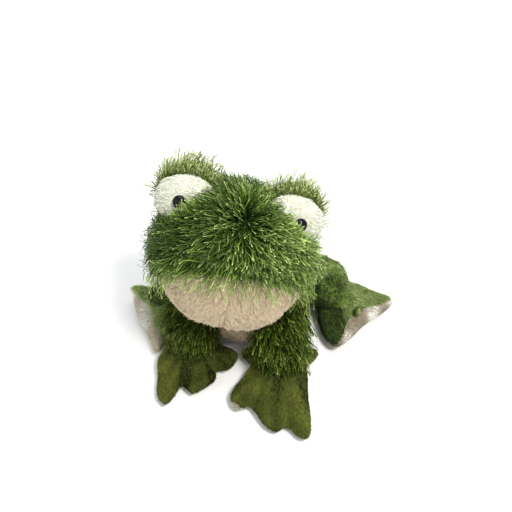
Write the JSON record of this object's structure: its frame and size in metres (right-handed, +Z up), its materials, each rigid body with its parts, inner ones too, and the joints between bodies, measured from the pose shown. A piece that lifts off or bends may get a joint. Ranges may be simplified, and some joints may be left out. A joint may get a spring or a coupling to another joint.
{
  "type": "plush frog",
  "caption": "Sitting stuffed frog with a big shaggy head, bulging plastic eyes, beige chin and belly, flat toed hands and splayed toed hind feet.",
  "frame": {"origin": "middle of the flat seat, on the floor", "axes": "+Z up, -Y the way the frog faces, +X the frog's own left"},
  "size_m": [0.2251, 0.1658, 0.1706],
  "materials": {
    "shag": "shaggy glossy green pile on a knitted backing",
    "pile": "short matt olive green pile",
    "beige": "short combed beige plush",
    "ivory": "short soft ivory plush",
    "fibre": "loose white polyester fibre",
    "pellets": "plastic pellets in a thin cloth bag",
    "eye_black": "polished black",
    "washer": "moulded white",
    "thread": "dark green sewing thread"
  },
  "bodies": {
    "body": {"back_panel_l": "shag", "back_panel_r": "shag", "belly_panel": "beige", "base_panel": "shag", "body_stuffing": "fibre", "seat_pellet_bag": "pellets"},
    "neck": {"neck_seam_thread": "thread"},
    "head": {"head_top_l": "shag", "head_top_r": "shag", "chin_l": "beige", "chin_r": "beige", "head_stuffing": "fibre", "eye_hood_l": "shag", "eye_hood_r": "shag", "eye_white_l": "ivory", "eye_white_r": "ivory", "eye_stuffing_l": "fibre", "eye_stuffing_r": "fibre", "eye_bead_l": "eye_black", "eye_bead_r": "eye_black", "eye_washer_l": "washer", "eye_washer_r": "washer"},
    "arm_l": {"arm_sleeve_l": "shag", "arm_stuffing_l": "fibre"},
    "hand_l": {"hand_top_l": "pile", "hand_sole_l": "beige", "hand_stuffing_l": "fibre"},
    "leg_l": {"leg_skin_l": "pile", "leg_stuffing_l": "fibre"},
    "foot_l": {"foot_top_l": "pile", "foot_sole_l": "beige", "foot_stuffing_l": "fibre"},
    "arm_r": {"arm_sleeve_r": "shag", "arm_stuffing_r": "fibre"},
    "hand_r": {"hand_top_r": "pile", "hand_sole_r": "beige", "hand_stuffing_r": "fibre"},
    "leg_r": {"leg_skin_r": "pile", "leg_stuffing_r": "fibre"},
    "foot_r": {"foot_top_r": "pile", "foot_sole_r": "beige", "foot_stuffing_r": "fibre"}
  },
  "joints": [
    {"name": "neck_turn", "type": "hinge", "parent": "body", "child": "neck", "pos_m": [0, -0.01, 0.054], "axis": [0, 0, 1], "range_deg": [-12, 12]},
    {"name": "head_nod", "type": "hinge", "parent": "neck", "child": "head", "pos_m": [0, -0.01, 0.054], "axis": [0.9903, 0.1392, 0], "range_deg": [-12, 3]},
    {"name": "shoulder_l", "type": "hinge", "parent": "body", "child": "arm_l", "pos_m": [0.037, -0.026, 0.034], "axis": [-1, 0, 0], "range_deg": [0, 12]},
    {"name": "wrist_l", "type": "hinge", "parent": "arm_l", "child": "hand_l", "pos_m": [0.044, -0.068, 0.025], "axis": [-1, 0, 0], "range_deg": [0, 18]},
    {"name": "hip_l", "type": "hinge", "parent": "body", "child": "leg_l", "pos_m": [0.039, 0.014, 0.018], "axis": [0, 0, 1], "range_deg": [0, 12]},
    {"name": "ankle_l", "type": "hinge", "parent": "leg_l", "child": "foot_l", "pos_m": [0.074, 0.012, 0.0175], "axis": [-0.5708, -0.8211, 0], "range_deg": [0, 12]},
    {"name": "shoulder_r", "type": "hinge", "parent": "body", "child": "arm_r", "pos_m": [-0.037, -0.026, 0.034], "axis": [-1, 0, 0], "range_deg": [0, 12]},
    {"name": "wrist_r", "type": "hinge", "parent": "arm_r", "child": "hand_r", "pos_m": [-0.03, -0.066, 0.025], "axis": [-1, 0, 0], "range_deg": [0, 18]},
    {"name": "hip_r", "type": "hinge", "parent": "body", "child": "leg_r", "pos_m": [-0.039, 0.014, 0.018], "axis": [0, 0, -1], "range_deg": [0, 12]},
    {"name": "ankle_r", "type": "hinge", "parent": "leg_r", "child": "foot_r", "pos_m": [-0.06, -0.014, 0.0165], "axis": [-0.6, 0.8, 0], "range_deg": [0, 12]}
  ]
}
